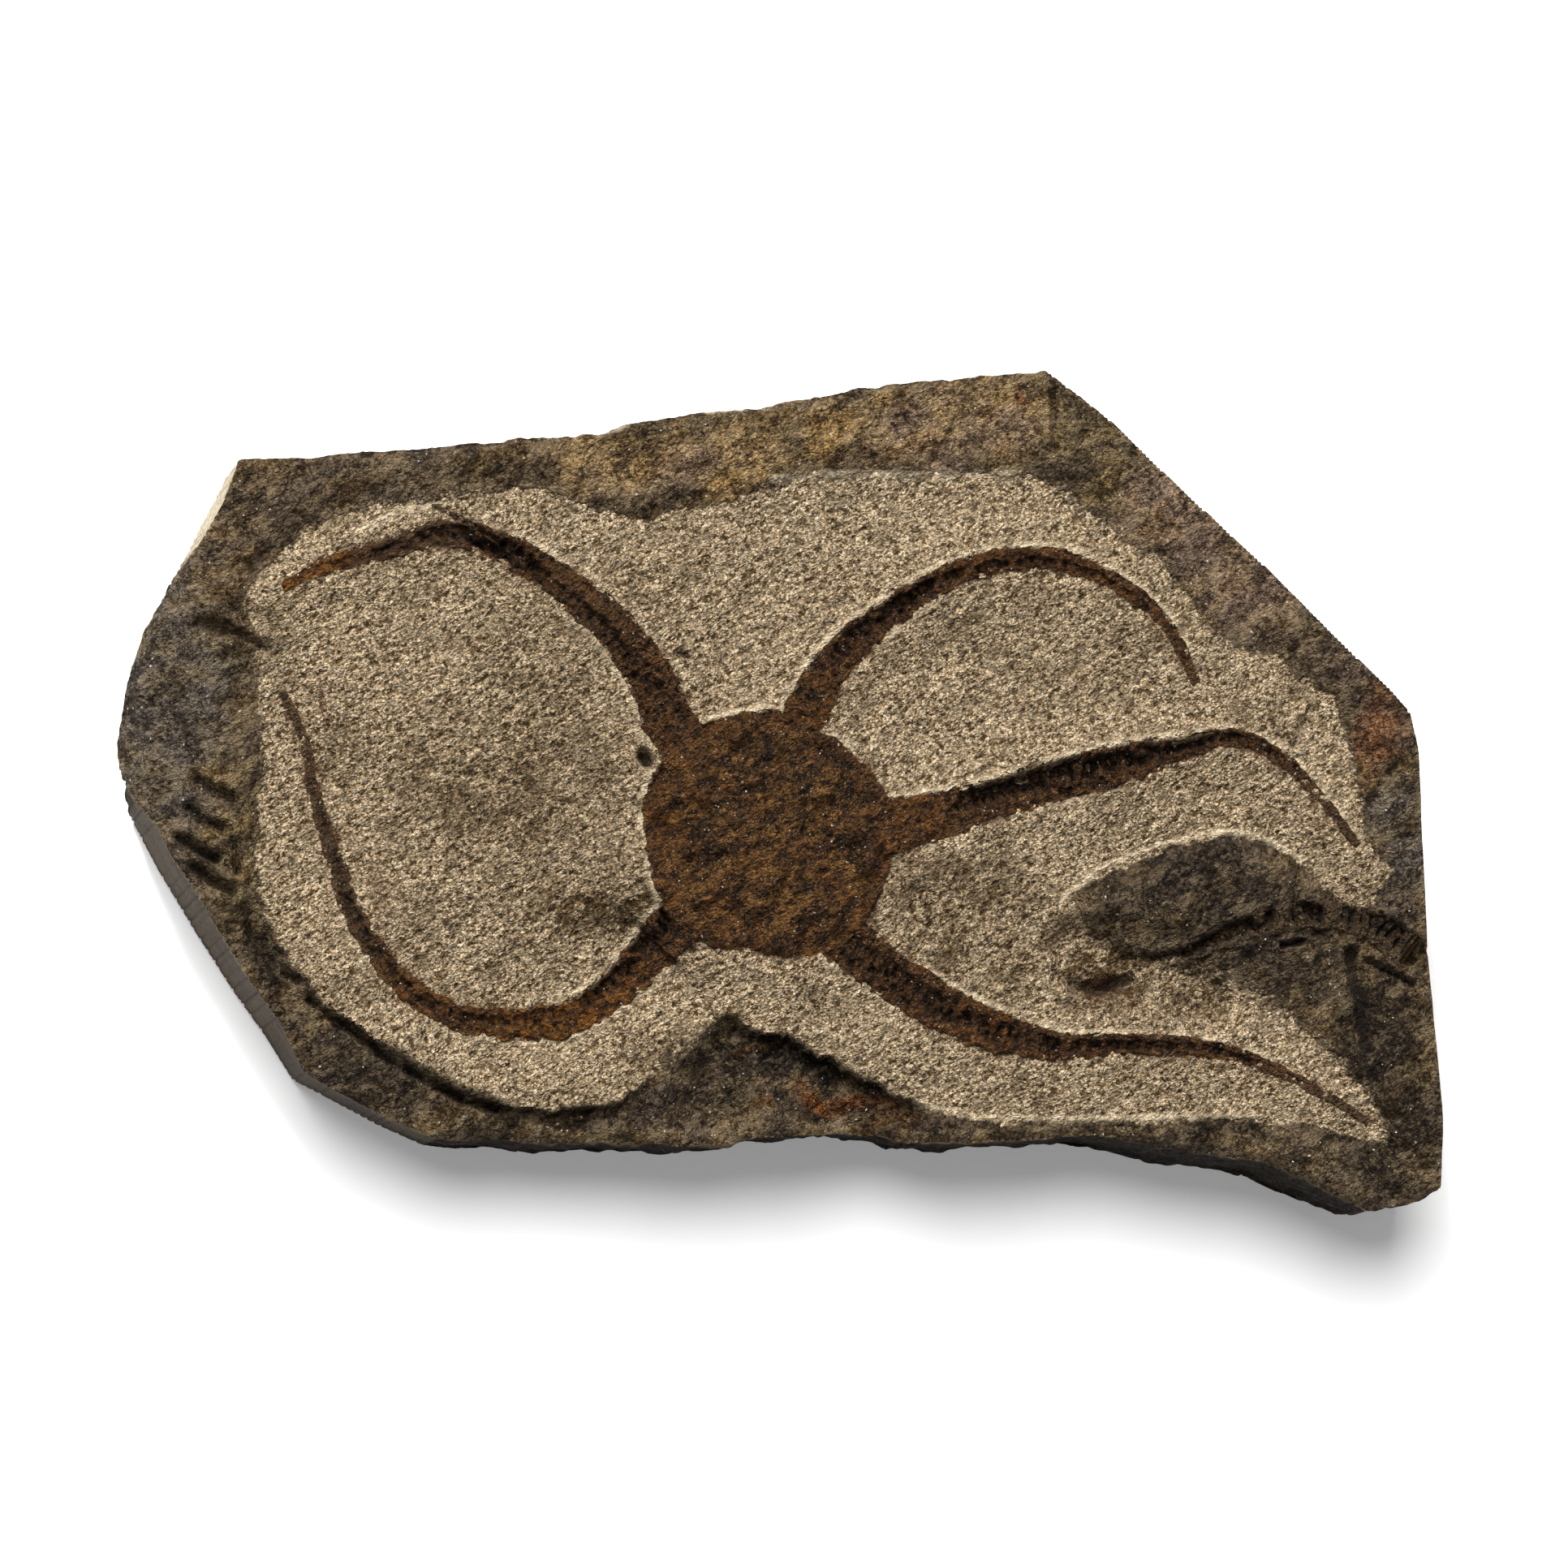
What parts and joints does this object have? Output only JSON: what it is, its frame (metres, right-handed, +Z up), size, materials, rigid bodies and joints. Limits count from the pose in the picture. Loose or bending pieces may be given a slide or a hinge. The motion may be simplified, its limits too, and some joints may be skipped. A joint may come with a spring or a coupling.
{
  "type": "brittle star fossil",
  "caption": "Brittle star fossil with a round disc and five long curled arms, in a flat sawn and broken slab of sandstone.",
  "frame": {"origin": "middle of the slab's outline, on its flat underside", "axes": "+Z up out of the fossil face, +X along the slab's length"},
  "size_m": [0.1413, 0.0896, 0.018],
  "materials": {
    "sandstone": "coarse pale sandstone, pecked where it was cleared, with dark natural crust on the rim and smooth sawn sides",
    "fossil": "dark brown iron-stained fossil with rusty patches and a slight varnish gloss"
  },
  "bodies": {
    "root": {"slab": "sandstone", "disc": "fossil", "arm_upper_left": "fossil", "arm_upper_right": "fossil", "arm_right": "fossil", "arm_lower_right": "fossil", "arm_lower_left": "fossil", "stray_arm": "fossil"}
  },
  "joints": []
}
